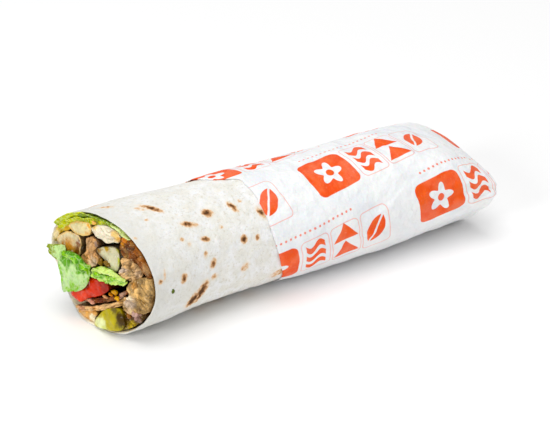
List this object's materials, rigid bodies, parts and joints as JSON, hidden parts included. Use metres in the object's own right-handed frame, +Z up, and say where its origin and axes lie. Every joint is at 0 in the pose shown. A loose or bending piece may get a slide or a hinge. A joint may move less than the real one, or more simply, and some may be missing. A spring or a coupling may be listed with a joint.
{
  "type": "durum wrap",
  "caption": "Rolled flatbread wrap filled with meat, potato, lettuce, tomato and pickle, cut open at one end and folded shut in a printed paper sleeve at the other.",
  "frame": {"origin": "under the middle of the whole, on the surface that it rests on", "axes": "+X along the roll from the open end to the folded end of the paper, +Z up; the pictured side faces -Y"},
  "size_m": [0.1922, 0.061, 0.0499],
  "materials": {
    "flatbread": "pale, floury flatbread with small toasted brown spots",
    "paper": "thin white wrapping paper, softly creased, with plain orange shapes",
    "lettuce": "moist green leaf, pale at the rib and brighter at the edges",
    "potato": "fried potato, pale and mealy inside with an amber edge",
    "meat": "roasted meat, fibrous, browned and slightly greasy",
    "chicken": "pale cooked meat with a golden edge",
    "tomato": "wet red tomato flesh",
    "pickle": "wet yellow-green pickle",
    "onion": "soft golden fried onion"
  },
  "bodies": {
    "root": {"flatbread": "flatbread", "paper_sleeve": "paper", "lettuce_top": "lettuce", "lettuce_left": "lettuce", "lettuce_middle": "lettuce", "potato_far_left": "potato", "potato_top": "potato", "potato_left": "potato", "potato_centre": "potato", "chicken_top": "chicken", "meat_centre": "meat", "meat_upper_right": "meat", "meat_middle_right": "meat", "meat_lower_right": "meat", "meat_slice_upper": "meat", "meat_slice_lower": "meat", "meat_bottom_right": "meat", "tomato": "tomato", "onion_bottom": "onion", "pickle": "pickle"}
  },
  "joints": []
}
